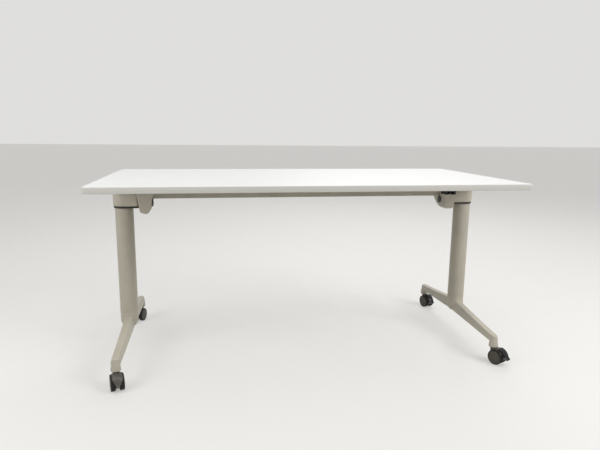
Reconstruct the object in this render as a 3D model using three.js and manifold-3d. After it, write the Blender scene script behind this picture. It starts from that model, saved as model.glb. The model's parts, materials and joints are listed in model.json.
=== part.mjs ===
// Flip top training table: a white top that tilts up to the rear on two cast T-legs with castors.
// Millimetres, +Z up. X runs along the top, +Y points to the rear edge.
// The origin lies on the floor, under the centre of the top.

import * as THREE from 'three';
import { mergeVertices } from 'three/addons/utils/BufferGeometryUtils.js';
import Module from 'manifold-3d';

const wasm = await Module();
wasm.setup();

// Tabletop
const TOP_LENGTH = 1600;
const TOP_DEPTH = 800;
const TOP_HEIGHT = 735;
const TOP_THICKNESS = 22;
const TOP_CORNER_RADIUS = 18;
const EDGE_BAND = 2;
const EDGE_ROUND = 1;

// Posts and heads
const POST_INSET = 63;
const POST_OFFSET = 30;
const POST_RADIUS = 36;
const POST_WALL = 2.5;
const HEAD_RADIUS = 42;
const HEAD_REACH = 61;
const HEAD_HEIGHT = 69;
const HEAD_ROUND = 6;
const HEAD_WALL = 6;
const HEAD_CORNER = 8;
const HEAD_BELOW_PIVOT = 12;
const PLATE_THICKNESS = 6;
const PLATE_INSET = 2;
const PLUG_LENGTH = 20;

// Feet
const FOOT_REACH = 369;
const FOOT_ROOT_TOP = 153;
const FOOT_TIP_TOP = 112;
const FOOT_ROOT_BOTTOM = 105;
const FOOT_TIP_BOTTOM = 89;
const FOOT_ROOT_HALF_WIDTH = 22;
const FOOT_TIP_HALF_WIDTH = 18;
const FOOT_ROOT_TOP_HALF = 15;
const FOOT_TIP_TOP_HALF = 13;
const FOOT_EDGE = 2.5;
const FOOT_SAG = 1.2;
const FOOT_WALL = 4;
const FOOT_ROOF = 10;
const FOOT_CELLS = 3;
const BOSS_RADIUS = 19;
const BOSS_ROUND = 2;
const HUB_TOP = 170;
const HUB_BOTTOM = 99;
const HUB_BOWL = 36;
const HUB_FLAT_RADIUS = 14;
const SPIGOT_LENGTH = 50;

// Hinge, measured from the pivot of the top
const PIVOT_DROP = 87;
const PIVOT_OFFSET = 20;
const PIN_RADIUS = 6;
const BUSH_WALL = 2.5;
const HOUSING_WIDTH = 52;
const HOUSING_WALL = 5;
const HOUSING_FRONT = 50;
const HOUSING_DEPTH_BELOW = 37;
const HOUSING_BELLY_RADIUS = 82;
const HOUSING_BELLY_SETBACK = 4;
const HOUSING_RIM = 27;
const HOUSING_TOP = 61;
const HOUSING_STEP = 8;
const HOUSING_LOW_HALF = 20;
const HOUSING_LOW = 20;
const HOUSING_TOE_HALF = 11;
const HOUSING_CORNER = 16;
const SWING_CLEARANCE = 3;
const CAP_RADIUS = 15;
const CAP_THICKNESS = 4;
const CAP_DOME = 1.5;
const CAP_SEAT_MARGIN = 2;

// Tilt brackets
const CAM_RADIUS = 24;
const CAM_THICKNESS = 10;
const NOTCH_WIDTH = 9;
const NOTCH_DEPTH = 5;
const ARM_HALF_WIDTH = 12;
const ARM_THICKNESS = 24;
const HUB_WALL = 5;
const FLANGE_THICKNESS = 4;
const FLANGE_WIDTH = 80;
const FLANGE_FRONT = 25;
const FLANGE_REAR = 75;
const GUSSET_START = 20;
const FLARE_HEIGHT = 14;

// Beam between the hinge housings
const BEAM_DEPTH = 36;
const BEAM_HEIGHT = 46;
const BEAM_WALL = 2.5;
const BEAM_CORNER = 5;
const BEAM_SETBACK = 8;
const BEAM_PLATE = 5;
const BEAM_PLATE_MARGIN = 4;
const BEAM_PLATE_LIP = 2;
const BEAM_VENT_RADIUS = 8;

// Latch: shaft, pawls, lever and the blocks that carry them
const SHAFT_RADIUS = 5;
const SHAFT_FORWARD = 38;
const SHAFT_RISE = 46;
const SLOT_HALF = 15;
const BLOCK_ROOF = 5;
const BLOCK_ROOF_DEPTH = 27;
const BLOCK_ROUND = 1.5;
const PAWL_THICKNESS = 9;
const PAWL_HUB_RADIUS = 8;
const PAWL_TIP_HALF = 3.5;
const PAWL_WAIST = 6;
const PADDLE_STANDOFF = 10;
const PADDLE_THICKNESS = 8;
const PADDLE_ROUND = 2;
const PADDLE_TOP = 53;
const PADDLE_TOP_HALF = 35.5;
const PADDLE_KNEE = 28;
const PADDLE_KNEE_HALF = 15.5;
const PADDLE_BOTTOM = 36;
const PADDLE_SHIFT = 5;
const LEVER_EAR_THICKNESS = 7;
const LEVER_ARM_ROUND = 1;
const LEVER_ARM_HALF = 5;
const SPRING_WIRE = 1.6;
const SPRING_TURNS = 4.25;
const SPRING_PITCH = 1.9;
const SPRING_LEG = 10;

// Castors
const CASTOR_HEIGHT = 65;
const WHEEL_RADIUS = 30;
const WHEEL_GAP = 15;
const TYRE_WIDTH = 16;
const TYRE_THICKNESS = 3.5;
const TYRE_SHOULDER = 1.5;
const DISC_DOME = 1.5;
const DISC_RING = 5;
const DISC_GROOVE = 0.8;
const AXLE_RADIUS = 4;
const AXLE_COVER = 4;
const TRAIL = 22;
const STEM_RADIUS = 4;
const STEM_GRIP = 26;
const STEM_SOCKET = 24;
const STEM_WALL = 4.4;
const HOOD_WALL = 2.2;
const HOOD_GAP = 1.6;
const HOOD_END = 180;
const SHIELD_HALF_WIDTH = 18;
const SHIELD_SHOULDER = 22;
const SHIELD_TOE_HALF = 7;
const NECK_RADIUS = 15;
const NECK_DISC = 2.4;
const WEB_TOE = 9;
const PEDAL_START = 100;
const PEDAL_END = 181;
const PEDAL_THICKNESS = 3.5;
const PEDAL_HALF_WIDTH = 16;
const PEDAL_BEAK = 8;
const PEDAL_LIFT = 9;
const PEDAL_CORNER = 6;

// Clearances
const SEAT_GAP = 0.1;
const FIT = 0.15;
const RUNNING_FIT = 0.3;
const SIDE_PLAY = 0.8;
const STOP_GAP = 0.5;
const LATCH_GAP = 0.5;
const SWIVEL_GAP = 0.4;
const PEDAL_GAP = 0.6;

// Facet counts
const ROUND_SEGMENTS = 32;
const SMALL_SEGMENTS = 12;
const BOSS_SEGMENTS = 16;
const WHEEL_SEGMENTS = 20;
const CURVE_STEPS = 4;
const FACET_ANGLE = 18;
const FINE_FACET_ANGLE = 12;
const SPRING_FACET_ANGLE = 72;
const COIL_STEPS = 9;
const VENT_FACET_ANGLE = 36;

// Places that follow from the sizes above
const UNDERSIDE = TOP_HEIGHT - TOP_THICKNESS;
const PIVOT_HEIGHT = UNDERSIDE - PIVOT_DROP;
const POST_X = TOP_LENGTH / 2 - POST_INSET;
const HINGE_X = POST_X - HEAD_REACH - HOUSING_WIDTH / 2;
const HEAD_BOTTOM = PIVOT_HEIGHT - HEAD_BELOW_PIVOT;
const PLATE_BOTTOM = HEAD_BOTTOM - PLATE_THICKNESS;
const BOSS_OFFSET = FOOT_REACH - BOSS_RADIUS;
const SWING_RADIUS = PIVOT_DROP - FLANGE_THICKNESS - SWING_CLEARANCE;
const BEAM_TOP = HOUSING_TOP;
const CUTTER_OVERRUN = 20;
const WELD_DISTANCE = 1e-4;

const degrees = THREE.MathUtils.degToRad;

// Materials
function finish(colour, roughness, metalness) {
  return new THREE.MeshStandardMaterial({ color: colour, roughness, metalness, flatShading: true });
}
const whiteLaminate = finish(0xf4f3f0, 0.45, 0);
const whiteEdge = finish(0xe6e5e2, 0.5, 0);
const greyPaint = finish(0xb9b6b0, 0.45, 0.2);
const blackPaint = finish(0x1d1d1e, 0.5, 0.2);
const blackPlastic = finish(0x18181a, 0.45, 0);
const brightSteel = finish(0xb4b6b8, 0.3, 1);
const bronze = finish(0x8a6a3c, 0.45, 0.8);
const hoodPlastic = finish(0x55524d, 0.35, 0);
const discPlastic = finish(0x5f584e, 0.45, 0);
const tyreRubber = finish(0x141414, 0.8, 0);

// Geometry helpers

// Welds shared corners and drops the triangles that close up at an axis.
function weld(geometry) {
  const bare = new THREE.BufferGeometry();
  bare.setAttribute('position', geometry.getAttribute('position'));
  bare.setIndex(geometry.index);
  const merged = mergeVertices(bare, WELD_DISTANCE);
  const corners = merged.index.array;
  const kept = [];
  for (let i = 0; i < corners.length; i += 3) {
    const [a, b, c] = corners.slice(i, i + 3);
    if (a !== b && b !== c && c !== a) kept.push(a, b, c);
  }
  merged.setIndex(kept);
  return merged;
}

function toSolid(geometry) {
  return new wasm.Manifold(new wasm.Mesh({
    numProp: 3,
    vertProperties: Float32Array.from(geometry.getAttribute('position').array),
    triVerts: Uint32Array.from(geometry.index.array),
  }));
}

function toGeometry(solid) {
  const mesh = solid.getMesh();
  const geometry = new THREE.BufferGeometry();
  geometry.setAttribute('position', new THREE.BufferAttribute(Float32Array.from(mesh.vertProperties), 3));
  geometry.setIndex(new THREE.BufferAttribute(Uint32Array.from(mesh.triVerts), 1));
  return geometry;
}

function combine(operation, first, others) {
  const solid = others.reduce((result, other) => result[operation](toSolid(other)), toSolid(first));
  return toGeometry(solid);
}
const join = (first, ...others) => combine('add', first, others);
const cut = (first, ...others) => combine('subtract', first, others);
const common = (first, ...others) => combine('intersect', first, others);

// Extrudes a shape along +Z from z = 0, with an optional rounded edge at both ends.
function extrude(shape, length, round = 0) {
  const geometry = new THREE.ExtrudeGeometry(shape, {
    depth: length - 2 * round,
    bevelEnabled: round > 0,
    bevelSize: round,
    bevelOffset: -round,
    bevelThickness: round,
    bevelSegments: 2,
    curveSegments: CURVE_STEPS,
  });
  geometry.translate(0, 0, round);
  return weld(geometry);
}

// A shape drawn in (y, z), extruded along X and centred on x = 0.
function extrudeAcross(shape, width, round = 0) {
  const geometry = extrude(shape, width, round);
  geometry.translate(0, 0, -width / 2);
  const turn = new THREE.Matrix4().set(0, 0, 1, 0, 1, 0, 0, 0, 0, 1, 0, 0, 0, 0, 0, 1);
  geometry.applyMatrix4(turn);
  return geometry;
}

// A shape drawn in (x, z), extruded along Y from front to rear.
function extrudeDeep(shape, front, rear, round = 0) {
  const geometry = extrude(shape, rear - front, round);
  geometry.rotateX(Math.PI / 2);
  geometry.translate(0, rear, 0);
  return geometry;
}

function box(x0, x1, y0, y1, z0, z1) {
  const geometry = new THREE.BoxGeometry(x1 - x0, y1 - y0, z1 - z0);
  geometry.translate((x0 + x1) / 2, (y0 + y1) / 2, (z0 + z1) / 2);
  return weld(geometry);
}

// Turns a profile of [radius, height] pairs about the Z axis, written from the bottom up on the outside.
function revolve(profile, segments) {
  const points = profile.map(([radius, height]) => new THREE.Vector2(radius, height));
  const geometry = new THREE.LatheGeometry(points, segments);
  geometry.rotateX(Math.PI / 2);
  return weld(geometry);
}

// The same profile turned about the X axis.
function revolveAcross(profile, segments) {
  const geometry = revolve(profile, segments);
  geometry.rotateY(Math.PI / 2);
  return geometry;
}

function rodAcross(radius, x0, x1, y = 0, z = 0, segments = SMALL_SEGMENTS) {
  const geometry = revolveAcross([[0, x0], [radius, x0], [radius, x1], [0, x1]], segments);
  geometry.translate(0, y, z);
  return geometry;
}

function tubeProfile(inner, outer, low, high) {
  return [[inner, low], [outer, low], [outer, high], [inner, high], [inner, low]];
}

function mirrorX(geometry) {
  const mirrored = geometry.clone();
  mirrored.scale(-1, 1, 1);
  const corners = Array.from(mirrored.index.array);
  for (let i = 0; i < corners.length; i += 3) {
    [corners[i], corners[i + 1]] = [corners[i + 1], corners[i]];
  }
  mirrored.setIndex(corners);
  return mirrored;
}

// Skins a row of rings that have the same number of points, and closes both ends.
function loft(rings) {
  const count = rings[0].length;
  const positions = rings.flat().flatMap((point) => [point.x, point.y, point.z]);
  const faces = [];
  for (let row = 0; row + 1 < rings.length; row += 1) {
    for (let i = 0; i < count; i += 1) {
      const next = (i + 1) % count;
      const a = row * count + i;
      const b = row * count + next;
      faces.push(a, b, b + count, a, b + count, a + count);
    }
  }
  const last = (rings.length - 1) * count;
  for (let i = 1; i + 1 < count; i += 1) {
    faces.push(0, i + 1, i);
    faces.push(last, last + i, last + i + 1);
  }
  const geometry = new THREE.BufferGeometry();
  geometry.setAttribute('position', new THREE.Float32BufferAttribute(positions, 3));
  geometry.setIndex(faces);
  return geometry;
}

// Adds an arc to a shape, in steps of about one facet angle. An empty shape starts with it.
function arc(shape, x, y, radius, from, to, facet = FACET_ANGLE) {
  const steps = Math.ceil(Math.abs(to - from) / degrees(facet) - WELD_DISTANCE);
  for (let i = 0; i <= steps; i += 1) {
    const angle = THREE.MathUtils.lerp(from, to, i / steps);
    const point = new THREE.Vector2(x + radius * Math.cos(angle), y + radius * Math.sin(angle));
    if (shape.curves.length === 0 && i === 0) shape.moveTo(point.x, point.y);
    if (point.distanceTo(shape.currentPoint) > WELD_DISTANCE) shape.lineTo(point.x, point.y);
  }
}

function roundedRectangle(x0, x1, y0, y1, radius) {
  const shape = new THREE.Shape();
  shape.moveTo(x0 + radius, y0);
  shape.lineTo(x1 - radius, y0);
  arc(shape, x1 - radius, y0 + radius, radius, -Math.PI / 2, 0);
  shape.lineTo(x1, y1 - radius);
  arc(shape, x1 - radius, y1 - radius, radius, 0, Math.PI / 2);
  shape.lineTo(x0 + radius, y1);
  arc(shape, x0 + radius, y1 - radius, radius, Math.PI / 2, Math.PI);
  shape.lineTo(x0, y0 + radius);
  arc(shape, x0 + radius, y0 + radius, radius, Math.PI, 1.5 * Math.PI);
  return shape;
}

function addMesh(group, name, geometry, material) {
  const mesh = new THREE.Mesh(geometry, material);
  mesh.name = name;
  group.add(mesh);
  return mesh;
}

const table = new THREE.Group();

// A piece of both sides: drawn for the right one, whose +X points outwards, and mirrored for the left.
function addPair(groups, name, geometry, material) {
  addMesh(groups.right, `${name}_right`, geometry, material);
  addMesh(groups.left, `${name}_left`, mirrorX(geometry), material);
}

function pairOfGroups(x, y, z) {
  const groups = { right: new THREE.Group(), left: new THREE.Group() };
  groups.right.position.set(x, y, z);
  groups.left.position.set(-x, y, z);
  table.add(groups.right, groups.left);
  return groups;
}

// Tabletop: board and edge band
function topOutline(inset) {
  const halfLength = TOP_LENGTH / 2 - inset;
  const halfDepth = TOP_DEPTH / 2 - inset;
  return roundedRectangle(-halfLength, halfLength, -halfDepth, halfDepth, TOP_CORNER_RADIUS - inset);
}

const board = extrude(topOutline(EDGE_BAND + SEAT_GAP), TOP_THICKNESS);
const bandCore = extrude(topOutline(EDGE_BAND), TOP_THICKNESS + 2);
bandCore.translate(0, 0, -1);
const band = cut(extrude(topOutline(0), TOP_THICKNESS, EDGE_ROUND), bandCore);

const topGroup = new THREE.Group();
topGroup.position.z = UNDERSIDE;
table.add(topGroup);
addMesh(topGroup, 'tabletop_board', board, whiteLaminate);
addMesh(topGroup, 'edge_band', band, whiteEdge);

// Legs: foot, post, black plate and head, drawn about the post's axis
const legs = pairOfGroups(POST_X, POST_OFFSET, 0);

// The arm's cross section at a distance from the post's axis.
function footSection(distance) {
  const share = Math.min(Math.abs(distance) / FOOT_REACH, 1);
  const lerp = THREE.MathUtils.lerp;
  return {
    half: lerp(FOOT_ROOT_HALF_WIDTH, FOOT_TIP_HALF_WIDTH, share),
    topHalf: lerp(FOOT_ROOT_TOP_HALF, FOOT_TIP_TOP_HALF, share),
    bottom: lerp(FOOT_ROOT_BOTTOM, FOOT_TIP_BOTTOM, share),
    top: FOOT_TIP_TOP + (FOOT_ROOT_TOP - FOOT_TIP_TOP) * (1 - share) ** FOOT_SAG,
  };
}

function footRing(distance) {
  const { half, topHalf, bottom, top } = footSection(distance);
  const outline = [[half, bottom], [topHalf, top - FOOT_EDGE], [topHalf - FOOT_EDGE, top]];
  const mirrored = outline.map(([x, z]) => [-x, z]).reverse();
  return [...outline, ...mirrored].map(([x, z]) => new THREE.Vector3(x, -distance, z));
}

// One open cell of the casting's underside.
function footCell(from, to) {
  const rings = [from, to].map((distance) => {
    const { half, topHalf, bottom, top } = footSection(distance);
    const wide = half - FOOT_WALL;
    const narrow = topHalf - FOOT_WALL;
    const low = bottom - CUTTER_OVERRUN;
    const high = top - FOOT_ROOF;
    const outline = [
      [wide, low], [wide, bottom], [narrow, high],
      [-narrow, high], [-wide, bottom], [-wide, low],
    ];
    return outline.map(([x, z]) => new THREE.Vector3(x, -distance, z));
  });
  return loft(rings);
}

function footCells(side) {
  const start = POST_RADIUS + FOOT_WALL;
  const end = BOSS_OFFSET - BOSS_RADIUS - FOOT_WALL;
  const pitch = (end - start + FOOT_WALL) / FOOT_CELLS;
  const cells = [];
  for (let i = 0; i < FOOT_CELLS; i += 1) {
    const near = start + i * pitch;
    const far = near + pitch - FOOT_WALL;
    cells.push(side > 0 ? footCell(near, far) : footCell(-far, -near));
  }
  return cells;
}

// The round boss at an arm's tip, which takes the castor's stem.
function footBoss(offset) {
  const { topHalf, top } = footSection(BOSS_OFFSET);
  const boss = revolve([
    [0, CASTOR_HEIGHT],
    [BOSS_RADIUS - BOSS_ROUND, CASTOR_HEIGHT],
    [BOSS_RADIUS, CASTOR_HEIGHT + BOSS_ROUND],
    [topHalf, top - FOOT_EDGE],
    [topHalf - FOOT_EDGE, top],
    [0, top],
  ], BOSS_SEGMENTS);
  boss.translate(0, offset, 0);
  return boss;
}

function stemBore(offset) {
  const bore = revolve([
    [0, CASTOR_HEIGHT - 1],
    [STEM_RADIUS + FIT, CASTOR_HEIGHT - 1],
    [STEM_RADIUS + FIT, CASTOR_HEIGHT + STEM_GRIP + FIT],
    [0, CASTOR_HEIGHT + STEM_GRIP + FIT],
  ], SMALL_SEGMENTS);
  bore.translate(0, offset, 0);
  return bore;
}

const spigotRadius = POST_RADIUS - POST_WALL - RUNNING_FIT;

// The hub under the post: a rounded bowl with a spigot that the post slides over.
function footHub() {
  const bowl = [];
  const steps = 4;
  for (let i = 0; i <= steps; i += 1) {
    const angle = (i / steps) * (Math.PI / 2);
    bowl.push([
      HUB_FLAT_RADIUS + (POST_RADIUS - HUB_FLAT_RADIUS) * Math.sin(angle),
      HUB_BOTTOM + HUB_BOWL * (1 - Math.cos(angle)),
    ]);
  }
  return revolve([
    [0, HUB_BOTTOM],
    ...bowl,
    [POST_RADIUS, HUB_TOP],
    [spigotRadius, HUB_TOP],
    [spigotRadius, HUB_TOP + SPIGOT_LENGTH],
    [0, HUB_TOP + SPIGOT_LENGTH],
  ], ROUND_SEGMENTS);
}

function footCasting() {
  const rings = [];
  const steps = 10;
  for (let i = 0; i <= steps; i += 1) {
    rings.push(footRing(THREE.MathUtils.lerp(-BOSS_OFFSET, BOSS_OFFSET, i / steps)));
  }
  const body = join(loft(rings), footHub(), footBoss(BOSS_OFFSET), footBoss(-BOSS_OFFSET));
  return cut(body, ...footCells(1), ...footCells(-1), stemBore(BOSS_OFFSET), stemBore(-BOSS_OFFSET));
}

const post = revolve(
  tubeProfile(POST_RADIUS - POST_WALL, POST_RADIUS, HUB_TOP + SEAT_GAP, PLATE_BOTTOM - SEAT_GAP),
  ROUND_SEGMENTS,
);

// Round outer end about the post's axis, straight sides and a square inner end.
function headOutline(inset) {
  const radius = HEAD_RADIUS - inset;
  const inner = -HEAD_REACH + SEAT_GAP;
  const corner = HEAD_CORNER;
  const shape = new THREE.Shape();
  shape.moveTo(inner + corner, -radius);
  arc(shape, 0, 0, radius, -Math.PI / 2, Math.PI / 2, FINE_FACET_ANGLE);
  shape.lineTo(inner + corner, radius);
  arc(shape, inner + corner, radius - corner, corner, Math.PI / 2, Math.PI);
  shape.lineTo(inner, -radius + corner);
  arc(shape, inner + corner, -radius + corner, corner, Math.PI, 1.5 * Math.PI);
  return shape;
}

function headPlate() {
  const plate = extrude(headOutline(PLATE_INSET), PLATE_THICKNESS - SEAT_GAP);
  const plug = revolve([
    [0, -PLUG_LENGTH],
    [spigotRadius, -PLUG_LENGTH],
    [spigotRadius, PLATE_THICKNESS / 2],
    [0, PLATE_THICKNESS / 2],
  ], ROUND_SEGMENTS);
  const solid = join(plate, plug);
  solid.translate(0, 0, PLATE_BOTTOM);
  return solid;
}

// The head is a shell, open below where the black plate closes it.
function headCasting() {
  const body = extrude(headOutline(0), HEAD_HEIGHT, HEAD_ROUND);
  const hollow = extrude(headOutline(HEAD_WALL), HEAD_HEIGHT - HEAD_WALL);
  const innerWall = box(
    -HEAD_REACH - 1, -HEAD_REACH + HEAD_WALL, -HEAD_RADIUS, HEAD_RADIUS, -1, HEAD_HEIGHT,
  );
  const pocket = cut(hollow, innerWall);
  pocket.translate(0, 0, -HEAD_ROUND / 2);
  const solid = cut(body, pocket);
  solid.translate(0, 0, HEAD_BOTTOM);
  return solid;
}

addPair(legs, 'foot', footCasting(), greyPaint);
addPair(legs, 'post', post, greyPaint);
addPair(legs, 'head_plate', headPlate(), blackPaint);
addPair(legs, 'head', headCasting(), greyPaint);

// Hinges, drawn about the pivot of the top
const hinges = pairOfGroups(HINGE_X, PIVOT_OFFSET, PIVOT_HEIGHT);
const housingHalf = HOUSING_WIDTH / 2;

// Half the housing's width at a height, where its sides lean in towards the toe.
function housingHalfAt(height) {
  const share = THREE.MathUtils.clamp((height + HOUSING_LOW) / (HOUSING_RIM + HOUSING_LOW), 0, 1);
  return THREE.MathUtils.lerp(HOUSING_LOW_HALF, housingHalf, share);
}

// The housing's outline from the front, in (x, z).
function housingFront(wall) {
  const top = HOUSING_TOP + (wall > 0 ? CUTTER_OVERRUN : 0);
  const toe = -HOUSING_DEPTH_BELOW + wall;
  const shape = new THREE.Shape();
  shape.moveTo(-HOUSING_TOE_HALF + wall, toe);
  shape.lineTo(HOUSING_TOE_HALF - wall, toe);
  shape.quadraticCurveTo(HOUSING_LOW_HALF - wall - 2, toe, HOUSING_LOW_HALF - wall, -HOUSING_LOW);
  shape.lineTo(housingHalf - wall, HOUSING_RIM);
  shape.lineTo(housingHalf - wall, top);
  shape.lineTo(-housingHalf + wall, top);
  shape.lineTo(-housingHalf + wall, HOUSING_RIM);
  shape.lineTo(-HOUSING_LOW_HALF + wall, -HOUSING_LOW);
  shape.quadraticCurveTo(-HOUSING_LOW_HALF + wall + 2, toe, -HOUSING_TOE_HALF + wall, toe);
  return shape;
}

// The housing's outline from the side, in (y, z): flat front, round belly, high rear half.
function housingSide() {
  const bellyHeight = HOUSING_BELLY_RADIUS - HOUSING_DEPTH_BELOW;
  const shape = new THREE.Shape();
  shape.moveTo(-HOUSING_FRONT, HOUSING_RIM);
  shape.lineTo(-HOUSING_FRONT, -HOUSING_DEPTH_BELOW + HOUSING_CORNER);
  arc(
    shape,
    -HOUSING_FRONT + HOUSING_CORNER, -HOUSING_DEPTH_BELOW + HOUSING_CORNER, HOUSING_CORNER,
    Math.PI, 1.5 * Math.PI);
  arc(shape, -HOUSING_BELLY_SETBACK, bellyHeight, HOUSING_BELLY_RADIUS, -Math.PI / 2, 0);
  shape.lineTo(HOUSING_BELLY_RADIUS - HOUSING_BELLY_SETBACK, HOUSING_TOP);
  shape.lineTo(-HOUSING_STEP, HOUSING_TOP);
  shape.lineTo(-HOUSING_STEP, HOUSING_RIM);
  return shape;
}

// The space inside: open above, and open to the rear for the bracket's arm, over a low lip.
function housingCavitySide() {
  const front = -HOUSING_FRONT + HOUSING_WALL;
  const floor = -HOUSING_DEPTH_BELOW + HOUSING_WALL;
  const rear = HOUSING_BELLY_RADIUS + CUTTER_OVERRUN;
  const top = HOUSING_TOP + CUTTER_OVERRUN;
  const corner = HOUSING_CORNER - HOUSING_WALL;
  const belly = HOUSING_BELLY_RADIUS - HOUSING_WALL;
  const lip = Math.acos((belly - HOUSING_WALL) / belly);
  const shape = new THREE.Shape();
  shape.moveTo(front, top);
  shape.lineTo(front, floor + corner);
  arc(shape, front + corner, floor + corner, corner, Math.PI, 1.5 * Math.PI);
  arc(shape, -HOUSING_BELLY_SETBACK, floor + belly, belly, 1.5 * Math.PI, 1.5 * Math.PI + lip);
  shape.lineTo(rear, floor + HOUSING_WALL);
  shape.lineTo(rear, top);
  return shape;
}

const capSeatRadius = CAP_RADIUS + CAP_SEAT_MARGIN;

function hingeHousing() {
  const front = extrudeDeep(housingFront(0), -HOUSING_FRONT - 1, HOUSING_BELLY_RADIUS + 1);
  const side = extrudeAcross(housingSide(), HOUSING_WIDTH + 2);
  const swing = rodAcross(SWING_RADIUS, -HOUSING_WIDTH, HOUSING_WIDTH, 0, 0, ROUND_SEGMENTS);
  const shell = common(side, front, swing);
  const capSeat = rodAcross(capSeatRadius, -housingHalf, 0, 0, 0, BOSS_SEGMENTS);
  const headSeat = box(
    0, housingHalf, PLATE_INSET - HEAD_RADIUS + POST_OFFSET - PIVOT_OFFSET + HEAD_CORNER,
    HEAD_RADIUS - HEAD_CORNER + POST_OFFSET - PIVOT_OFFSET, -HEAD_BELOW_PIVOT + HEAD_ROUND, HOUSING_RIM,
  );
  const cavity = common(
    extrudeAcross(housingCavitySide(), HOUSING_WIDTH),
    extrudeDeep(housingFront(HOUSING_WALL), -HOUSING_FRONT, HOUSING_BELLY_RADIUS + 2 * CUTTER_OVERRUN),
  );
  const pinBore = rodAcross(PIN_RADIUS + FIT, -HOUSING_WIDTH, HOUSING_WIDTH);
  return cut(join(shell, capSeat, headSeat), cavity, pinBore);
}

const pivotPin = rodAcross(PIN_RADIUS, -housingHalf + SEAT_GAP, housingHalf - SEAT_GAP);

const pivotCap = revolveAcross([
  [0, -housingHalf - CAP_THICKNESS],
  [CAP_RADIUS - 2 * CAP_DOME, -housingHalf - CAP_THICKNESS],
  [CAP_RADIUS, -housingHalf - CAP_THICKNESS + CAP_DOME],
  [CAP_RADIUS, -housingHalf - SEAT_GAP],
  [0, -housingHalf - SEAT_GAP],
], BOSS_SEGMENTS);

addPair(hinges, 'hinge_housing', hingeHousing(), greyPaint);
addPair(hinges, 'pivot_pin', pivotPin, brightSteel);
addPair(hinges, 'pivot_cap', pivotCap, blackPlastic);

// Tilt brackets: cam disc and hub on the pivot, arm and flange under the top
const bushOuter = PIN_RADIUS + RUNNING_FIT + BUSH_WALL;
const bracketHubRadius = bushOuter + FIT + HUB_WALL;
const bracketHubHalf = housingHalfAt(-bracketHubRadius) - HOUSING_WALL - SIDE_PLAY;
const latchAngle = Math.atan2(SHAFT_RISE, -SHAFT_FORWARD);
const flangeBottom = PIVOT_DROP - FLANGE_THICKNESS - SEAT_GAP;

// The cam has one notch for the flat top and one for the upright top, a quarter turn apart.
function camNotch(angle) {
  const shape = new THREE.Shape();
  const floor = CAM_RADIUS - NOTCH_DEPTH;
  const rim = CAM_RADIUS + CUTTER_OVERRUN;
  const splay = (rim - floor) / 4;
  shape.moveTo(floor, -NOTCH_WIDTH / 2);
  shape.lineTo(rim, -NOTCH_WIDTH / 2 - splay);
  shape.lineTo(rim, NOTCH_WIDTH / 2 + splay);
  shape.lineTo(floor, NOTCH_WIDTH / 2);
  const notch = extrudeAcross(shape, CAM_THICKNESS + 2);
  notch.rotateX(angle);
  return notch;
}

function bracketArm() {
  const flareStart = flangeBottom - FLARE_HEIGHT;
  const shape = new THREE.Shape();
  shape.moveTo(-ARM_HALF_WIDTH, 0);
  shape.lineTo(ARM_HALF_WIDTH, 0);
  shape.lineTo(ARM_HALF_WIDTH, GUSSET_START);
  shape.quadraticCurveTo(ARM_HALF_WIDTH + 4, flareStart, FLANGE_REAR - FLANGE_THICKNESS, flangeBottom);
  shape.lineTo(FLANGE_REAR - FLANGE_THICKNESS, flangeBottom + FLANGE_THICKNESS / 2);
  shape.lineTo(-FLANGE_FRONT + FLANGE_THICKNESS, flangeBottom + FLANGE_THICKNESS / 2);
  shape.lineTo(-FLANGE_FRONT + FLANGE_THICKNESS, flangeBottom);
  shape.quadraticCurveTo(-ARM_HALF_WIDTH, flangeBottom, -ARM_HALF_WIDTH, flareStart);
  return extrudeAcross(shape, ARM_THICKNESS);
}

function tiltBracket() {
  const cam = rodAcross(CAM_RADIUS, -CAM_THICKNESS / 2, CAM_THICKNESS / 2, 0, 0, ROUND_SEGMENTS);
  const hub = rodAcross(bracketHubRadius, -bracketHubHalf, bracketHubHalf, 0, 0, BOSS_SEGMENTS);
  const flange = extrude(
    roundedRectangle(-FLANGE_WIDTH / 2, FLANGE_WIDTH / 2, -FLANGE_FRONT, FLANGE_REAR, HEAD_CORNER),
    FLANGE_THICKNESS,
  );
  flange.translate(0, 0, flangeBottom);
  const bore = rodAcross(bushOuter + FIT, -HOUSING_WIDTH, HOUSING_WIDTH);
  const notchedCam = cut(cam, camNotch(latchAngle), camNotch(latchAngle + Math.PI / 2));
  return cut(join(notchedCam, hub, bracketArm(), flange), bore);
}

const bush = revolveAcross(
  tubeProfile(PIN_RADIUS + RUNNING_FIT, bushOuter, -bracketHubHalf, bracketHubHalf),
  SMALL_SEGMENTS,
);

addPair(hinges, 'tilt_bracket', tiltBracket(), blackPaint);
addPair(hinges, 'pivot_bush', bush, bronze);

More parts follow.
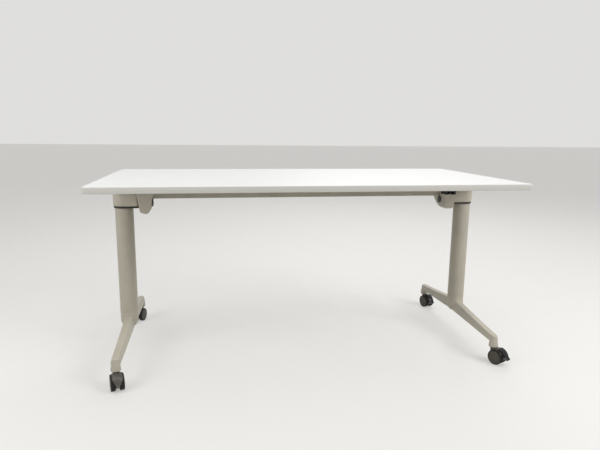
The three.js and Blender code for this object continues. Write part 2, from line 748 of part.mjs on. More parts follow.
// Beam: a rectangular tube with a plate welded to each end
function beamWeldment() {
  const reach = HINGE_X - housingHalf - SEAT_GAP;
  const y0 = BEAM_SETBACK;
  const y1 = BEAM_SETBACK + BEAM_DEPTH;
  const z0 = BEAM_TOP - BEAM_HEIGHT;
  const outer = roundedRectangle(y0, y1, z0, BEAM_TOP, BEAM_CORNER);
  outer.holes.push(roundedRectangle(
    y0 + BEAM_WALL, y1 - BEAM_WALL, z0 + BEAM_WALL, BEAM_TOP - BEAM_WALL, BEAM_CORNER - BEAM_WALL,
  ));
  const tube = extrudeAcross(outer, 2 * (reach - BEAM_PLATE / 2));
  const plateOutline = roundedRectangle(
    y0 - BEAM_PLATE_MARGIN, y1 + BEAM_PLATE_MARGIN,
    z0 - BEAM_PLATE_LIP, BEAM_TOP + BEAM_PLATE_LIP, BEAM_CORNER,
  );
  const vent = new THREE.Path();
  arc(vent, (y0 + y1) / 2, (z0 + BEAM_TOP) / 2, BEAM_VENT_RADIUS, 0, 2 * Math.PI, VENT_FACET_ANGLE);
  plateOutline.holes.push(vent);
  const plates = [-1, 1].map((side) => {
    const plate = extrudeAcross(plateOutline, BEAM_PLATE);
    plate.translate(side * (reach - BEAM_PLATE / 2), 0, 0);
    return plate;
  });
  return join(tube, ...plates);
}

const frameGroup = new THREE.Group();
frameGroup.position.set(0, PIVOT_OFFSET, PIVOT_HEIGHT);
table.add(frameGroup);
addMesh(frameGroup, 'beam', beamWeldment(), greyPaint);

// Latch blocks: bridges on the housings' rims that carry the sync shaft
function latchBlock() {
  const bottom = HOUSING_RIM + SEAT_GAP;
  const rear = -ARM_HALF_WIDTH - STOP_GAP;
  const outline = new THREE.Shape();
  outline.moveTo(-housingHalf, bottom);
  outline.lineTo(-SLOT_HALF, bottom);
  outline.lineTo(-SLOT_HALF, HOUSING_TOP - BLOCK_ROOF);
  outline.lineTo(SLOT_HALF, HOUSING_TOP - BLOCK_ROOF);
  outline.lineTo(SLOT_HALF, bottom);
  outline.lineTo(housingHalf, bottom);
  outline.lineTo(housingHalf, HOUSING_TOP);
  outline.lineTo(-housingHalf, HOUSING_TOP);
  const bridge = extrudeDeep(outline, -HOUSING_FRONT, rear, BLOCK_ROUND);
  const mouth = box(
    -SLOT_HALF, SLOT_HALF, -HOUSING_FRONT - 1, rear - BLOCK_ROOF_DEPTH, bottom - 1, HOUSING_TOP + 1,
  );
  const boreRadius = SHAFT_RADIUS + RUNNING_FIT;
  const bore = rodAcross(boreRadius, -HOUSING_WIDTH, HOUSING_WIDTH, -SHAFT_FORWARD, SHAFT_RISE);
  return cut(bridge, mouth, bore);
}
addPair(hinges, 'latch_block', latchBlock(), blackPlastic);

// Pawls: each points from the shaft to the pivot and stands just off the cam's notch
function pawl() {
  const reach = Math.hypot(SHAFT_FORWARD, SHAFT_RISE) - CAM_RADIUS - LATCH_GAP;
  const shoulder = Math.sqrt(PAWL_HUB_RADIUS ** 2 - PAWL_WAIST ** 2);
  const shoulderAngle = Math.atan2(shoulder, PAWL_WAIST);
  const shape = new THREE.Shape();
  shape.moveTo(reach, -PAWL_TIP_HALF);
  shape.lineTo(reach, PAWL_TIP_HALF);
  arc(shape, 0, 0, PAWL_HUB_RADIUS, shoulderAngle, 2 * Math.PI - shoulderAngle);
  const body = extrudeAcross(shape, PAWL_THICKNESS);
  const bore = rodAcross(SHAFT_RADIUS + FIT, -HOUSING_WIDTH, HOUSING_WIDTH);
  const solid = cut(body, bore);
  solid.rotateX(Math.atan2(-SHAFT_RISE, SHAFT_FORWARD));
  solid.translate(0, -SHAFT_FORWARD, SHAFT_RISE);
  return solid;
}
addPair(hinges, 'pawl', pawl(), brightSteel);

const shaftHalf = HINGE_X + housingHalf - HOUSING_WALL / 2;
const syncShaft = rodAcross(SHAFT_RADIUS, -shaftHalf, shaftHalf, -SHAFT_FORWARD, SHAFT_RISE);
addMesh(frameGroup, 'sync_shaft', syncShaft, brightSteel);

// Release lever: a paddle in front of the left housing, on two ears that straddle the pawl
function releaseLever() {
  const rear = -HOUSING_FRONT - PADDLE_STANDOFF;
  const front = rear - PADDLE_THICKNESS;
  const outline = new THREE.Shape();
  outline.moveTo(-PADDLE_KNEE_HALF, -PADDLE_KNEE);
  outline.quadraticCurveTo(-PADDLE_KNEE_HALF + 3, -PADDLE_BOTTOM, 0, -PADDLE_BOTTOM);
  outline.quadraticCurveTo(PADDLE_KNEE_HALF - 3, -PADDLE_BOTTOM, PADDLE_KNEE_HALF, -PADDLE_KNEE);
  outline.lineTo(PADDLE_TOP_HALF, PADDLE_TOP);
  outline.lineTo(-PADDLE_TOP_HALF, PADDLE_TOP);
  const paddle = extrudeDeep(outline, front, rear, PADDLE_ROUND);
  paddle.translate(PADDLE_SHIFT, 0, 0);
  const earOffset = PAWL_THICKNESS / 2 + SIDE_PLAY + LEVER_EAR_THICKNESS / 2;
  const ears = [-earOffset, earOffset].map((offset) => {
    const arm = roundedRectangle(
      rear - PADDLE_THICKNESS / 2, -SHAFT_FORWARD,
      SHAFT_RISE - LEVER_ARM_HALF, SHAFT_RISE + LEVER_ARM_HALF, LEVER_ARM_ROUND,
    );
    const ear = join(
      extrudeAcross(arm, LEVER_EAR_THICKNESS),
      rodAcross(
        PAWL_HUB_RADIUS, -LEVER_EAR_THICKNESS / 2, LEVER_EAR_THICKNESS / 2, -SHAFT_FORWARD, SHAFT_RISE,
      ),
    );
    ear.translate(offset, 0, 0);
    return ear;
  });
  const bore = rodAcross(SHAFT_RADIUS + FIT, -HOUSING_WIDTH, HOUSING_WIDTH, -SHAFT_FORWARD, SHAFT_RISE);
  return cut(join(paddle, ...ears), bore);
}
addMesh(hinges.left, 'release_lever', releaseLever(), greyPaint);

// Return spring: a torsion coil round the shaft, with one leg down and one leg forward
class TorsionSpringPath extends THREE.Curve {
  constructor(radius, x0) {
    super();
    this.radius = radius;
    this.x0 = x0;
  }

  getPoint(t) {
    const coil = 2 * Math.PI * SPRING_TURNS * this.radius;
    const along = t * (coil + 2 * SPRING_LEG) - SPRING_LEG;
    const angle = THREE.MathUtils.clamp(along, 0, coil) / this.radius;
    const past = along - THREE.MathUtils.clamp(along, 0, coil);
    const x = this.x0 + (angle / (2 * Math.PI)) * SPRING_PITCH;
    const y = -SHAFT_FORWARD + this.radius * Math.cos(angle) - past * Math.sin(angle);
    const z = SHAFT_RISE + this.radius * Math.sin(angle) + past * Math.cos(angle);
    return new THREE.Vector3(x, y, z);
  }
}

function returnSpring() {
  const radius = SHAFT_RADIUS + RUNNING_FIT + SPRING_WIRE / 2;
  const path = new TorsionSpringPath(radius, PAWL_THICKNESS / 2 + SIDE_PLAY + SPRING_WIRE / 2);
  const section = new THREE.Shape();
  arc(section, 0, 0, SPRING_WIRE / 2, 0, 2 * Math.PI, SPRING_FACET_ANGLE);
  return weld(new THREE.ExtrudeGeometry(section, {
    steps: Math.round(COIL_STEPS * SPRING_TURNS) + 2,
    bevelEnabled: false,
    extrudePath: path,
  }));
}
addMesh(hinges.right, 'return_spring', returnSpring(), brightSteel);

// Castors, drawn about the stem's axis with the wheels trailing to -Y
const axleHeight = WHEEL_RADIUS;
const tyreInner = WHEEL_RADIUS - TYRE_THICKNESS;
const wheelInner = WHEEL_GAP / 2;
const wheelOuter = wheelInner + TYRE_WIDTH;
const webHalf = wheelInner - SIDE_PLAY;
const hoodInner = WHEEL_RADIUS + HOOD_GAP;
const hoodOuter = hoodInner + HOOD_WALL;
const axleHalf = wheelOuter - AXLE_COVER;
const webRear = STEM_RADIUS + FIT + STEM_WALL;
const hoodStart = Math.acos((TRAIL - webRear) / hoodOuter);

// A flat of the tyre lies on the floor, so its corners stand a little outside the wheel's radius.
function tyre() {
  const toCorner = 1 / Math.cos(Math.PI / WHEEL_SEGMENTS);
  const outer = WHEEL_RADIUS * toCorner;
  const shoulder = outer - TYRE_SHOULDER;
  const geometry = revolveAcross([
    [tyreInner, wheelInner],
    [outer, wheelInner],
    [outer, wheelOuter - TYRE_SHOULDER],
    [shoulder, wheelOuter],
    [tyreInner, wheelOuter],
    [tyreInner, wheelInner],
  ], WHEEL_SEGMENTS);
  geometry.rotateX(Math.PI / WHEEL_SEGMENTS);
  return geometry;
}

function wheelDisc() {
  const rim = tyreInner * Math.cos(Math.PI / WHEEL_SEGMENTS) - FIT;
  const ring = rim - DISC_RING;
  const bore = AXLE_RADIUS + RUNNING_FIT;
  const geometry = revolveAcross([
    [0, axleHalf + SIDE_PLAY],
    [bore, axleHalf + SIDE_PLAY],
    [bore, wheelInner + FIT],
    [rim, wheelInner + FIT],
    [rim, wheelOuter - FIT],
    [ring, wheelOuter - DISC_GROOVE],
    [ring - DISC_GROOVE, wheelOuter],
    [0, wheelOuter + DISC_DOME],
  ], WHEEL_SEGMENTS);
  geometry.rotateX(Math.PI / WHEEL_SEGMENTS);
  return geometry;
}

function polar(radius, angle) {
  return [-TRAIL + radius * Math.cos(degrees(angle)), axleHeight + radius * Math.sin(degrees(angle))];
}

// The web between the wheels, which holds the axle and the stem.
function hoodWeb() {
  const neckTop = CASTOR_HEIGHT - SWIVEL_GAP - NECK_DISC / 2;
  const [toeY] = polar(hoodInner, HOOD_END);
  const shape = new THREE.Shape();
  shape.moveTo(webRear, axleHeight);
  shape.lineTo(webRear, neckTop);
  shape.lineTo(-webRear, neckTop);
  arc(shape, -TRAIL, axleHeight, hoodOuter, hoodStart, degrees(HOOD_END));
  shape.quadraticCurveTo(toeY, WEB_TOE + axleHeight / 3, -TRAIL, WEB_TOE);
  shape.quadraticCurveTo(0, WEB_TOE, webRear, axleHeight);
  return extrudeAcross(shape, 2 * webHalf);
}

// The shield over the front of both wheels: a curved band that narrows to a toe at axle height.
function hoodShield() {
  const shape = new THREE.Shape();
  arc(shape, -TRAIL, axleHeight, hoodOuter, hoodStart, degrees(HOOD_END));
  arc(shape, -TRAIL, axleHeight, hoodInner, degrees(HOOD_END), hoodStart);
  const band = extrudeAcross(shape, 2 * SHIELD_HALF_WIDTH);
  const shoulder = axleHeight + SHIELD_SHOULDER;
  const outline = new THREE.Shape();
  outline.moveTo(-SHIELD_TOE_HALF, axleHeight - 1);
  outline.lineTo(SHIELD_TOE_HALF, axleHeight - 1);
  outline.lineTo(SHIELD_HALF_WIDTH, shoulder);
  outline.lineTo(SHIELD_HALF_WIDTH, CASTOR_HEIGHT);
  outline.lineTo(-SHIELD_HALF_WIDTH, CASTOR_HEIGHT);
  outline.lineTo(-SHIELD_HALF_WIDTH, shoulder);
  return common(band, extrudeDeep(outline, -TRAIL - hoodOuter - 1, 0));
}

function castorHood() {
  const neckTop = CASTOR_HEIGHT - SWIVEL_GAP;
  const neckBottom = axleHeight + WHEEL_RADIUS + SIDE_PLAY;
  const neck = revolve([
    [0, neckBottom],
    [webHalf, neckBottom],
    [NECK_RADIUS, neckTop - NECK_DISC],
    [NECK_RADIUS, neckTop],
    [0, neckTop],
  ], BOSS_SEGMENTS);
  const body = join(hoodWeb(), hoodShield(), neck);
  const socketBottom = CASTOR_HEIGHT - STEM_SOCKET;
  const socket = revolve([
    [0, socketBottom],
    [STEM_RADIUS + FIT, socketBottom],
    [STEM_RADIUS + FIT, CASTOR_HEIGHT + 1],
    [0, CASTOR_HEIGHT + 1],
  ], SMALL_SEGMENTS);
  const axleBore = rodAcross(AXLE_RADIUS + FIT, -WHEEL_GAP, WHEEL_GAP, -TRAIL, axleHeight);
  return cut(body, socket, axleBore);
}

const castorStem = revolve([
  [0, CASTOR_HEIGHT - STEM_SOCKET + FIT],
  [STEM_RADIUS, CASTOR_HEIGHT - STEM_SOCKET + FIT],
  [STEM_RADIUS, CASTOR_HEIGHT + STEM_GRIP],
  [0, CASTOR_HEIGHT + STEM_GRIP],
], SMALL_SEGMENTS);

// The brake pedal lies on the hood when pressed, and stands lifted off it at rest.
const pedalInner = hoodOuter + PEDAL_GAP;
const pedalOuter = pedalInner + PEDAL_THICKNESS;
const [pedalHingeY, pedalHingeZ] = polar((pedalInner + pedalOuter) / 2, PEDAL_START);

function brakePedal() {
  const [tipY, tipZ] = polar(pedalOuter + PEDAL_BEAK, PEDAL_END + PEDAL_BEAK);
  const [rootY, rootZ] = polar(pedalInner, PEDAL_END);
  const shape = new THREE.Shape();
  arc(shape, -TRAIL, axleHeight, pedalOuter, degrees(PEDAL_START), degrees(PEDAL_END - PEDAL_BEAK));
  shape.quadraticCurveTo(...polar(pedalOuter + PEDAL_THICKNESS / 2, PEDAL_END), tipY, tipZ);
  shape.lineTo(rootY, rootZ);
  arc(shape, -TRAIL, axleHeight, pedalInner, degrees(PEDAL_END), degrees(PEDAL_START));
  const strip = extrudeAcross(shape, 2 * PEDAL_HALF_WIDTH);
  const plan = extrude(roundedRectangle(
    -PEDAL_HALF_WIDTH, PEDAL_HALF_WIDTH, tipY, pedalHingeY + CUTTER_OVERRUN, PEDAL_CORNER,
  ), 2 * CASTOR_HEIGHT);
  const pedal = common(strip, plan);
  pedal.translate(0, -pedalHingeY, -pedalHingeZ);
  pedal.rotateX(degrees(-PEDAL_LIFT));
  return pedal;
}

// Where each castor stands, how far it is swivelled, and whether it has a brake.
const castors = [
  { name: 'front_left', side: -1, end: -1, swivel: 16, braked: false },
  { name: 'front_right', side: 1, end: -1, swivel: 26, braked: true },
  { name: 'rear_left', side: -1, end: 1, swivel: -17, braked: false },
  { name: 'rear_right', side: 1, end: 1, swivel: 14, braked: true },
];

const hoodGeometry = castorHood();
const discGeometry = wheelDisc();
const tyreGeometry = tyre();
const wheelSides = [
  ['inner', discGeometry, tyreGeometry],
  ['outer', mirrorX(discGeometry), mirrorX(tyreGeometry)],
];

for (const { name, side, end, swivel, braked } of castors) {
  const castor = new THREE.Group();
  castor.position.set(side * POST_X, POST_OFFSET + end * BOSS_OFFSET, 0);
  table.add(castor);
  addMesh(castor, `castor_stem_${name}`, castorStem, brightSteel);

  const swivelGroup = new THREE.Group();
  swivelGroup.rotation.z = degrees(swivel);
  castor.add(swivelGroup);
  addMesh(swivelGroup, `castor_hood_${name}`, hoodGeometry, hoodPlastic);

  const axleGroup = new THREE.Group();
  axleGroup.position.set(0, -TRAIL, axleHeight);
  swivelGroup.add(axleGroup);
  addMesh(axleGroup, `castor_axle_${name}`, rodAcross(AXLE_RADIUS, -axleHalf, axleHalf), brightSteel);
  for (const [place, disc, rubber] of wheelSides) {
    addMesh(axleGroup, `wheel_disc_${name}_${place}`, disc, discPlastic);
    addMesh(axleGroup, `tyre_${name}_${place}`, rubber, tyreRubber);
  }

  if (braked) {
    const pedalGroup = new THREE.Group();
    pedalGroup.position.set(0, pedalHingeY, pedalHingeZ);
    swivelGroup.add(pedalGroup);
    addMesh(pedalGroup, `brake_pedal_${name}`, brakePedal(), blackPlastic);
  }
}

export default table;
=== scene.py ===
"""Looks of the flip top training table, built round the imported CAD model. Metres, +Z up."""

import json
import math

import bmesh
import bpy
from mathutils import Matrix, Vector

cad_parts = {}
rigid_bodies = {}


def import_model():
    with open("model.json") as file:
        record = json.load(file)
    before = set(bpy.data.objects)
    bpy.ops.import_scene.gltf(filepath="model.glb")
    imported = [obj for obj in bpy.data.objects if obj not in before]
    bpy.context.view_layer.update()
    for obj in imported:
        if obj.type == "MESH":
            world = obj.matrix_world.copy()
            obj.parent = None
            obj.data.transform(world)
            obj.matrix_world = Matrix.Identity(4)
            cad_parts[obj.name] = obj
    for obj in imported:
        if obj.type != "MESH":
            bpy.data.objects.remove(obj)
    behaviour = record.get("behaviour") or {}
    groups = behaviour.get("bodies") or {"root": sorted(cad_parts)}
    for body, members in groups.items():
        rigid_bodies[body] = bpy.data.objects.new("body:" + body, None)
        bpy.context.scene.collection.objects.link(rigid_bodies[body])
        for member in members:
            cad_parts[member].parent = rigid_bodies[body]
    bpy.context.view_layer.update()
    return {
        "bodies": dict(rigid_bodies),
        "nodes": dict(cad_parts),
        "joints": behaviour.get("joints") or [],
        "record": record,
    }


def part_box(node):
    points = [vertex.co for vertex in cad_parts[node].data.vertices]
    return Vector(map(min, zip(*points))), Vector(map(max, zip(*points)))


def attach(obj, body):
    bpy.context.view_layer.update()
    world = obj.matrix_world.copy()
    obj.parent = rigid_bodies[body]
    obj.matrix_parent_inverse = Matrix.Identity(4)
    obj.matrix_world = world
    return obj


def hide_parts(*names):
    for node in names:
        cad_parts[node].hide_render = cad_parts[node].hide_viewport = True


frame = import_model()


record = frame["record"]
joints = {joint["name"]: joint for joint in frame["joints"]}
MM = 0.001
WELD = 1e-6
SIDES = {"left": -1, "right": 1}
CORNERS = ("front_left", "front_right", "rear_left", "rear_right")

# Top and posts, in millimetres as in the CAD model
TOP_LENGTH = 1600
TOP_DEPTH = 800
TOP_HEIGHT = 735
TOP_THICKNESS = 22
TOP_CORNER = 18
EDGE_BAND = 2
EDGE_ROUND = 1
SEAT_GAP = 0.1
POST_RADIUS = 36
POST_WALL = 2.5
HUB_BOTTOM = 99

# Hinges, in millimetres as in the CAD model
PIVOT_Y = 20
PIVOT_Z = 626
HINGE_X = 650
HOUSING_HALF = 26
HOUSING_TOP = 61
FLANGE_THICKNESS = 4
CAP_RADIUS = 15
CAP_THICKNESS = 4
SHAFT_RADIUS = 5
SHAFT_FORWARD = 38
SHAFT_RISE = 46
SPRING_WIRE = 1.6
SPRING_TURNS = 4.25
SPRING_PITCH = 1.9
SPRING_LEG = 10
SPRING_START = 6.1
SPRING_CLEARANCE = 0.3
SPRING_RADIUS = SHAFT_RADIUS + SPRING_CLEARANCE + SPRING_WIRE / 2
SPRING_COIL = 2 * math.pi * SPRING_TURNS * SPRING_RADIUS

# Castors, in millimetres and degrees as in the CAD model
WHEEL_RADIUS = 30
WHEEL_INNER = 7.5
WHEEL_OUTER = 23.5
TYRE_INNER = 26.5
DISC_DOME = 1.5
TRAIL = 22
CASTOR_HEIGHT = 65
SWIVEL_GAP = 0.4
HOOD_INNER = 31.6
HOOD_OUTER = 33.8
HOOD_START = 67
HOOD_END = 180
WEB_HALF = 6.7
WEB_REAR = 8.55
WEB_TOE = 9
SHIELD_HALF = 18
SHIELD_TOE_HALF = 7
SHIELD_SHOULDER = 22
NECK_RADIUS = 15
NECK_TOP = CASTOR_HEIGHT - SWIVEL_GAP
PEDAL_INNER = 34.4
PEDAL_THICKNESS = 3.5
PEDAL_START = 100
PEDAL_END = 181
PEDAL_BEAK = 8
PEDAL_LIFT = 9
PEDAL_HALF = 16

# Broken edges of the finished pieces, in millimetres and degrees
BOARD_BREAK = 0.25
POST_BREAK = 0.6
SHAFT_BREAK = 0.8
FLAT_ANGLE = 0.5
BEVEL_ANGLE = 32

# Pivot cap: (inset, depth) along its rounded rim, then (radius, depth) across its dished middle
CAP_RIM = ((0, 1.6), (0.5, 0.7), (1.5, 0.2), (3.0, 0))
CAP_DISH = ((9.0, 0), (8.2, 0.5), (7.6, 1.2), (0, 1.4))

# Screws: (radius, height) of each head, places from the pivot or the post, and shares of a button head
FLANGE_SCREW = (4.6, 2.2)
FLANGE_SCREWS_X = 31
FLANGE_SCREWS_Y = (-16, 24, 64)
BLOCK_SCREW = (3.6, 2.0)
BLOCK_SCREWS_X = 20.5
BLOCK_SCREWS_Y = -21
PLATE_SCREW = (4.2, 2.4)
PLATE_SCREWS_X = 50
PLATE_SCREWS_Y = 22
HUB_BOLT = (9.5, 5.0)
BUTTON_HEAD = ((1, 0), (1, 0.3), (0.92, 0.62), (0.72, 0.9))
SOCKET_WIDTH = 0.45
SOCKET_DEPTH = 0.6
SOCKET_LAND = 1.25

# Wheels: tread, then (inset, rise) along the disc's rim and (radius, rise) to its hub, from its face
TREAD_SHOULDER = 2.2
TREAD_GROOVE = 0.5
DISC_GAP = 0.15
DISC_BACK = 0.2
DISC_CHAMFER = 0.6
DISC_RIM = (
    (0, -0.7), (0.4, -0.2), (1.0, 0), (2.2, 0), (2.8, -0.3), (3.3, -1.0), (4.2, -1.1), (5.0, -0.6),
)
DISC_HUB = (
    (16, 0.1), (11, 0.5), (8.6, 0.6), (8.2, 0.2), (7.6, 0.2), (7.2, 0.8),
    (6.2, DISC_DOME - 0.3), (3, DISC_DOME), (0, DISC_DOME),
)

# Hood: bores, groove, crown, (distance from the axle, height) under the web, (radius, depth) of the neck
AXLE_BORE = 4.4
AXLE_END = 21.5
STEM_BORE = 4.6
STEM_END = 40.5
BORE_REACH = WEB_HALF + 2
BORE_TOP = CASTOR_HEIGHT + 1
GROOVE_ANGLE = 119
GROOVE_HALF = 1.6
GROOVE_DEPTH = 1.0
SHIELD_EASE = 0.85
SHIELD_CROWN = 0.9
WEB_SHOULDER = 1.2
WEB_UNDERSIDE = ((-24, 18), (-14, 11), (0, WEB_TOE), (14, 13), (25, 21))
NECK_SECTION = (
    (0, 3.4), (WEB_HALF, 3.2), (NECK_RADIUS - 0.6, 2.6), (NECK_RADIUS, 2.0),
    (NECK_RADIUS, 0.4), (NECK_RADIUS - 0.4, 0), (0, 0),
)

# Brake pedal: edges in millimetres, shares of its width, thickness and length, and the curl of its lip
PEDAL_BEVEL = 0.8
PEDAL_CROWN = 0.5
PEDAL_TAPER = 0.22
PEDAL_HINGE_WIDTH = 0.86
PEDAL_HINGE_FLARE = 2
PEDAL_END_THICKNESS = 0.8
CROWN_SIDE = 0.75
LIP_START = 0.86
LIP_CURVE = 1.6
LIP_UNDER = 0.55
LIP_TURN = 0.9

# Facet counts of the smooth pieces
FINE = 96
ROUND = 64
SMALL = 32
SCREW_FACETS = 24
WIRE_FACETS = 8
CORNER_STEPS = 16
EDGE_STEPS = 4
BEVEL_STEPS = 2
SHOULDER_STEPS = 5
SPRING_STEPS = 150
HOOD_STEPS = 80
SHIELD_COLUMNS = 12
PEDAL_STEPS = 44

# Camera: the photo's own angle
CAMERA_PLACE = (-0.38124, -2.12712, 0.92164)
CAMERA_YAW = 0.1708
CAMERA_PITCH = 0.1819
CAMERA_ROLL = 0.0111
FOCAL_PIXELS = 512.4
IMAGE_WIDTH = 600
SENSOR = 36.0

# Floor, backdrop and even light
FLOOR_HALF = 30
FLOOR_TONE = (0.52, 0.513, 0.50)
FLOOR_BOUNCE = (0.46, 0.45, 0.43)
FLOOR_GLOW = 0.72
AMBIENT = (0.24, 0.24, 0.235, 1)
BACKDROP = (0.74, 0.735, 0.725, 1)


def make_camera():
    forward = Vector((
        math.sin(CAMERA_YAW) * math.cos(CAMERA_PITCH),
        math.cos(CAMERA_YAW) * math.cos(CAMERA_PITCH),
        -math.sin(CAMERA_PITCH),
    ))
    level = Vector((math.cos(CAMERA_YAW), -math.sin(CAMERA_YAW), 0))
    above = level.cross(forward)
    right = level * math.cos(CAMERA_ROLL) + above * math.sin(CAMERA_ROLL)
    up = above * math.cos(CAMERA_ROLL) - level * math.sin(CAMERA_ROLL)
    data = bpy.data.cameras.new("camera")
    data.sensor_width = SENSOR
    data.lens = SENSOR * FOCAL_PIXELS / IMAGE_WIDTH
    camera = bpy.data.objects.new("camera", data)
    camera.matrix_world = (
        Matrix.Translation(CAMERA_PLACE) @ Matrix((right, up, -forward)).transposed().to_4x4()
    )
    bpy.context.scene.collection.objects.link(camera)
    bpy.context.scene.camera = camera


make_camera()


# Materials

NOISE_LOW = 0.3
NOISE_HIGH = 0.7


class Nodes:
    """A material's node tree, with short calls to add and link its nodes."""

    def __init__(self, name):
        self.material = bpy.data.materials.new(name)
        self.material.use_nodes = True
        self.tree = self.material.node_tree
        self.shader = self.tree.nodes["Principled BSDF"]
        self.place = self.add("ShaderNodeTexCoord").outputs["Object"]

    def add(self, kind, **settings):
        node = self.tree.nodes.new(kind)
        for key, value in settings.items():
            setattr(node, key, value)
        return node

    def link(self, output, target):
        self.tree.links.new(output, target)

    def stretched(self, scale):
        mapping = self.add("ShaderNodeMapping")
        mapping.inputs["Scale"].default_value = scale
        self.link(self.place, mapping.inputs["Vector"])
        return mapping.outputs["Vector"]

    def noise(self, scale, detail=3.0, roughness=0.55, vector=None):
        node = self.add("ShaderNodeTexNoise")
        node.inputs["Scale"].default_value = scale
        node.inputs["Detail"].default_value = detail
        node.inputs["Roughness"].default_value = roughness
        self.link(vector or self.place, node.inputs["Vector"])
        return node.outputs["Fac"]

    def cells(self, scale):
        node = self.add("ShaderNodeTexVoronoi", feature="SMOOTH_F1")
        node.inputs["Scale"].default_value = scale
        self.link(self.place, node.inputs["Vector"])
        return node.outputs["Distance"]

    def spread(self, value, low, high, start=NOISE_LOW, end=NOISE_HIGH):
        node = self.add("ShaderNodeMapRange")
        node.inputs["From Min"].default_value = start
        node.inputs["From Max"].default_value = end
        node.inputs["To Min"].default_value = low
        node.inputs["To Max"].default_value = high
        self.link(value, node.inputs["Value"])
        return node.outputs["Result"]

    def shades(self, value, dark, light):
        node = self.add("ShaderNodeValToRGB")
        node.color_ramp.elements[0].position = NOISE_LOW
        node.color_ramp.elements[0].color = (*dark, 1)
        node.color_ramp.elements[1].position = NOISE_HIGH
        node.color_ramp.elements[1].color = (*light, 1)
        self.link(value, node.inputs["Fac"])
        return node.outputs["Color"]

    def tint(self, base, factor, colour):
        node = self.add("ShaderNodeMix", data_type="RGBA", blend_type="MIX")
        self.link(factor, node.inputs["Factor"])
        self.link(base, node.inputs["A"])
        node.inputs["B"].default_value = (*colour, 1)
        return node.outputs["Result"]

    # Painted shade: a mask that is 1 where ambient occlusion finds corners and crevices close by, used
    # to darken the colour there.
    def painted_crevice_shade(self, distance):
        node = self.add("ShaderNodeAmbientOcclusion", samples=8)
        node.inputs["Distance"].default_value = distance
        return self.spread(node.outputs["AO"], 1.0, 0.0, start=0.25, end=0.85)

    def bump(self, height, distance, strength, below=None):
        node = self.add("ShaderNodeBump")
        node.inputs["Distance"].default_value = distance
        node.inputs["Strength"].default_value = strength
        self.link(height, node.inputs["Height"])
        if below is not None:
            self.link(below, node.inputs["Normal"])
        return node.outputs["Normal"]

    def finish(self, colour, roughness, normal, metallic=0.0, specular=0.5, coat=0.0):
        self.link(colour, self.shader.inputs["Base Color"])
        self.link(roughness, self.shader.inputs["Roughness"])
        self.link(normal, self.shader.inputs["Normal"])
        self.shader.inputs["Metallic"].default_value = metallic
        self.shader.inputs["Specular IOR Level"].default_value = specular
        self.shader.inputs["Coat Weight"].default_value = coat
        return self.material


def scaled(colour, factor):
    return tuple(min(channel * factor, 1.0) for channel in colour)


def laminate(name, colour):
    """Melamine board: almost even white with a faint pearl texture."""
    look = Nodes(name)
    mottle = look.noise(40, detail=4)
    tone = look.shades(mottle, scaled(colour, 0.988), scaled(colour, 1.008))
    rough = look.spread(look.noise(60, detail=5), low=0.36, high=0.44)
    pearl = look.bump(look.noise(1400, detail=2), distance=0.0002, strength=0.10)
    waves = look.bump(look.noise(300), distance=0.0002, strength=0.04, below=pearl)
    return look.finish(tone, rough, waves)


def edging(name, colour):
    """Plastic edge strip, extruded, so its faint lines run along the strip."""
    look = Nodes(name)
    lines = look.noise(1, detail=2, vector=look.stretched((14, 14, 900)))
    tone = look.shades(lines, scaled(colour, 0.965), scaled(colour, 1.02))
    rough = look.spread(look.noise(80, detail=4), low=0.40, high=0.52)
    return look.finish(tone, rough, look.bump(lines, distance=0.0002, strength=0.10))


def powder_coat(name, colour, grain):
    """Sprayed powder paint: orange peel and a little cloudiness, with painted shade darkening it in the
    corners.
    """
    look = Nodes(name)
    cloud = look.noise(9, detail=5)
    tone = look.shades(cloud, scaled(colour, 0.93), scaled(colour, 1.06))
    speck = look.spread(look.noise(1900, detail=1), low=0.0, high=0.22, start=0.62, end=0.72)
    tone = look.tint(tone, speck, scaled(colour, 0.72))
    # Painted shade: the paint darkens to 0.45 of its colour in corners and crevices.
    tone = look.tint(tone, look.painted_crevice_shade(0.006), scaled(colour, 0.45))
    peel = look.bump(look.cells(grain), distance=0.0004, strength=0.16)
    normal = look.bump(look.noise(grain * 0.35), distance=0.0004, strength=0.12, below=peel)
    return look.finish(tone, look.spread(look.noise(220, detail=4), low=0.40, high=0.54), normal)


def moulded(name, colour, grain, rough, specular=0.5, coat=0.0):
    """Injection moulded plastic with a fine spark-eroded grain and faint flow marks."""
    look = Nodes(name)
    flow = look.noise(1, detail=4, vector=look.stretched((60, 60, 22)))
    tone = look.shades(flow, scaled(colour, 0.88), scaled(colour, 1.14))
    # Painted shade: the plastic darkens to half its colour in corners and crevices.
    tone = look.tint(tone, look.painted_crevice_shade(0.004), scaled(colour, 0.5))
    texture = look.bump(look.noise(grain, roughness=0.65), distance=0.0003, strength=0.18)
    sheen = look.spread(look.noise(160, detail=4), *rough)
    return look.finish(tone, sheen, texture, specular=specular, coat=coat)


def rubber(name, colour):
    """Soft tread: dull, with dust that greys the running surface a little."""
    look = Nodes(name)
    wear = look.noise(120, detail=5)
    tone = look.shades(wear, scaled(colour, 0.75), scaled(colour, 1.9))
    lint = look.spread(look.noise(700, detail=4), low=0.0, high=0.30, start=0.60, end=0.78)
    tone = look.tint(tone, lint, scaled(colour, 3.2))
    rough = look.spread(look.noise(260, detail=4), low=0.62, high=0.84)
    normal = look.bump(look.noise(900), distance=0.0003, strength=0.25)
    return look.finish(tone, rough, normal, specular=0.35)


def bare_metal(name, colour, rough, along):
    """Bare metal with fine scratches or grain, as fine along each axis as it is told."""
    look = Nodes(name)
    scratches = look.noise(1, detail=4, roughness=0.7, vector=look.stretched(along))
    tone = look.shades(scratches, scaled(colour, 0.82), scaled(colour, 1.12))
    # Painted shade: the metal darkens to 0.35 of its colour in corners and crevices.
    tone = look.tint(tone, look.painted_crevice_shade(0.004), scaled(colour, 0.35))
    normal = look.bump(scratches, distance=0.0002, strength=0.20)
    return look.finish(tone, look.spread(look.noise(300, detail=4), *rough), normal, metallic=1.0)


